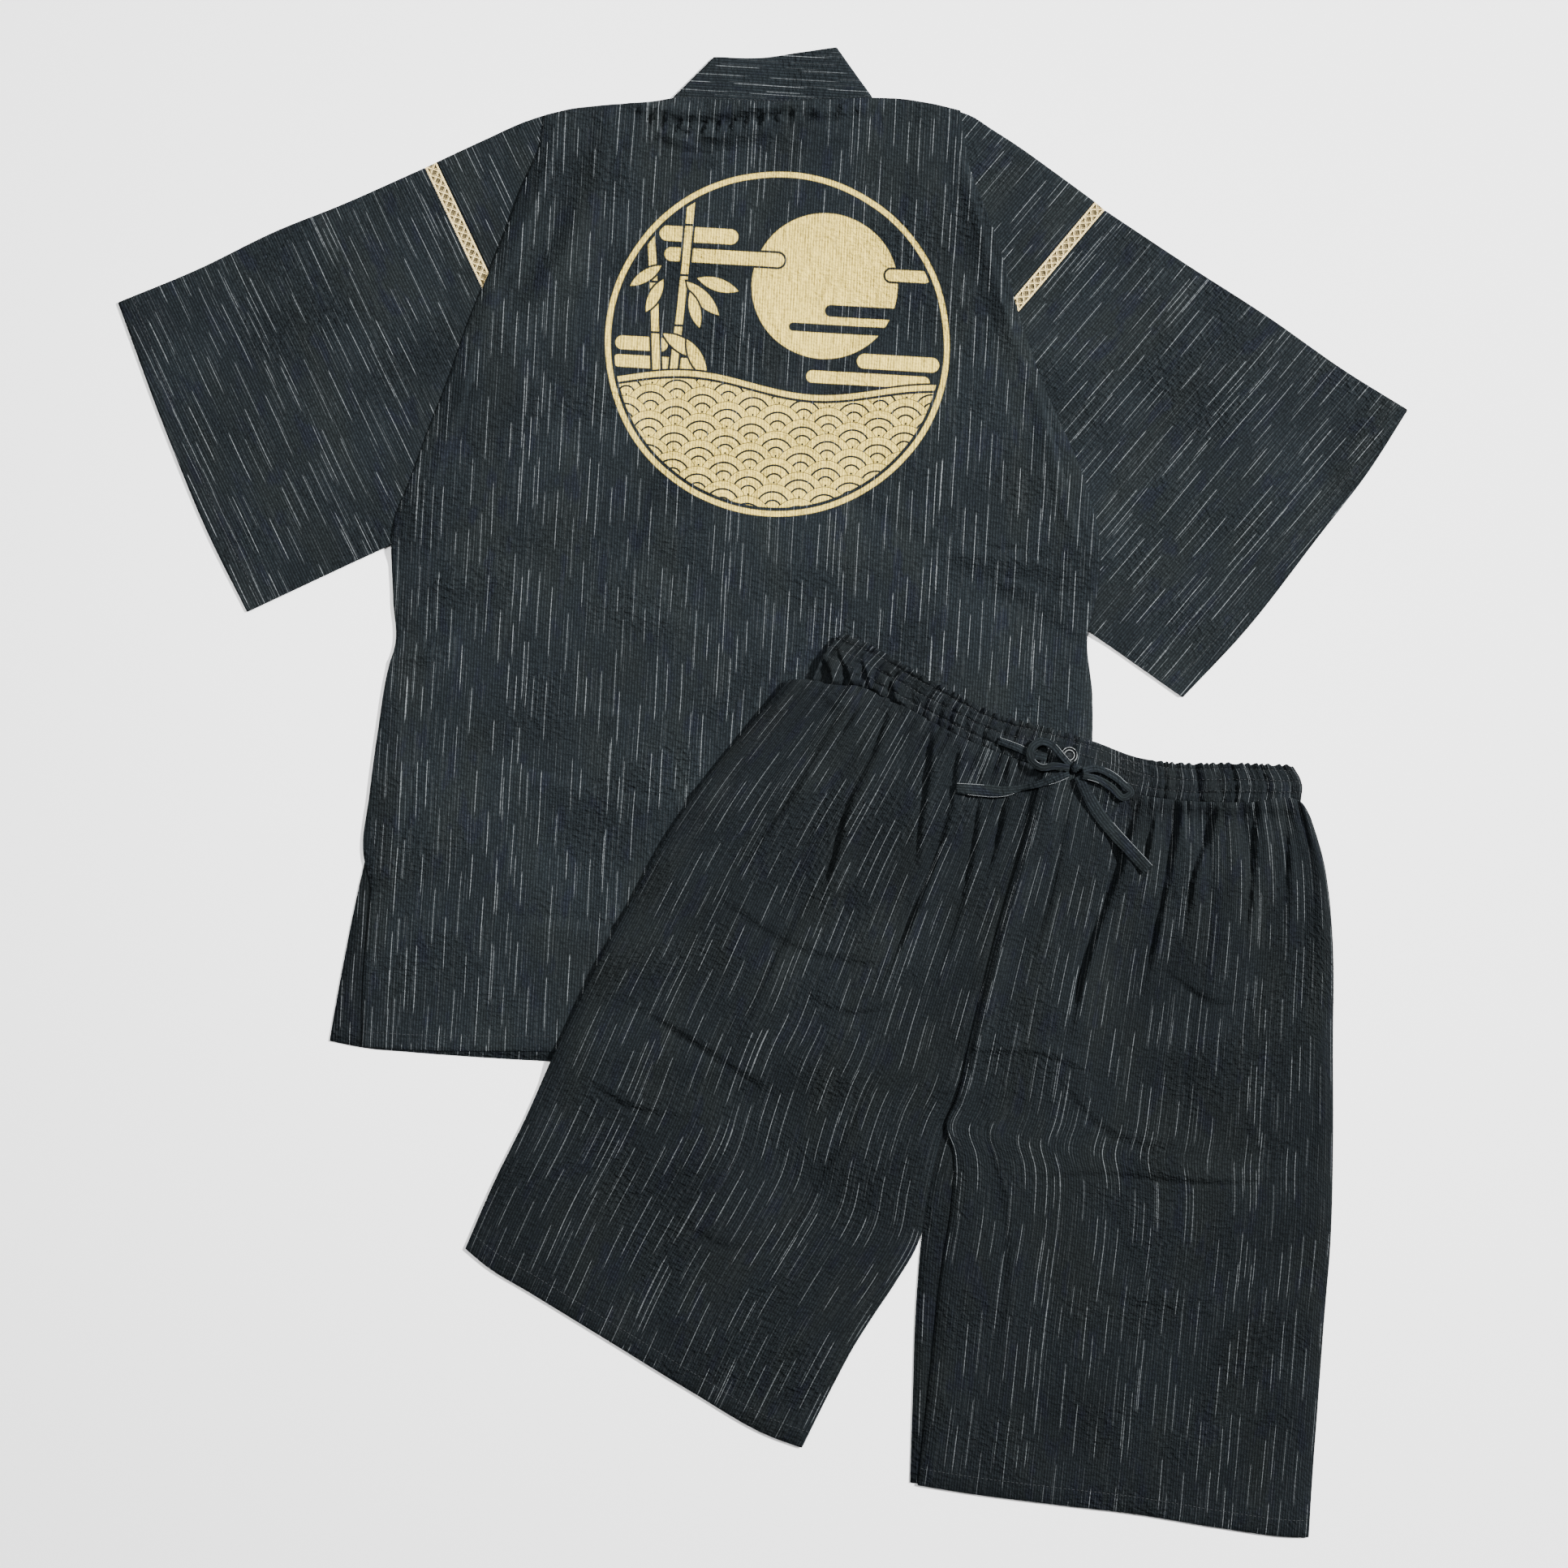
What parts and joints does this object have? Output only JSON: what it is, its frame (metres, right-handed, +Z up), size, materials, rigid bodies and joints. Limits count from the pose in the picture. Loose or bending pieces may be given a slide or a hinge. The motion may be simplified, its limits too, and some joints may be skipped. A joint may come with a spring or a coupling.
{
  "type": "jinbei set",
  "caption": "Men's summer jinbei set laid flat: wrap jacket, back side up, with braid in its armholes, and elastic-waist shorts, front side up, with button fly and tied drawstring.",
  "frame": {"origin": "centre of the bounding box of the laid-out set, in the plane of the surface it lies on", "axes": "+Y up the picture, from the shorts' leg openings towards the jacket's collar; +X to the picture's right; +Z up from the surface, towards the viewer"},
  "size_m": [1.0621, 1.2284, 0.0152],
  "materials": {
    "streaked_cloth": "matt",
    "braid": "matt",
    "ribbon": "matt",
    "button": "satin"
  },
  "bodies": {
    "root": {"jacket_back": "streaked_cloth", "back_side_left": "streaked_cloth", "back_side_right": "streaked_cloth", "jacket_front_left": "streaked_cloth", "jacket_front_right": "streaked_cloth", "sleeve_left": "streaked_cloth", "sleeve_right": "streaked_cloth", "braid_left": "braid", "braid_right": "braid", "collar_back": "streaked_cloth", "collar_front_left": "streaked_cloth", "collar_front_right": "streaked_cloth", "shorts_back_left": "streaked_cloth", "shorts_back_right": "streaked_cloth", "shorts_front_left": "streaked_cloth", "shorts_front_right": "streaked_cloth", "waistband_back": "streaked_cloth", "waistband_front": "streaked_cloth", "fly": "streaked_cloth", "button": "button", "drawstring_lead": "ribbon", "drawstring_knot": "ribbon", "drawstring_loop_left": "ribbon", "drawstring_loop_right": "ribbon", "drawstring_end_left": "ribbon", "drawstring_end_right": "ribbon"}
  },
  "joints": []
}
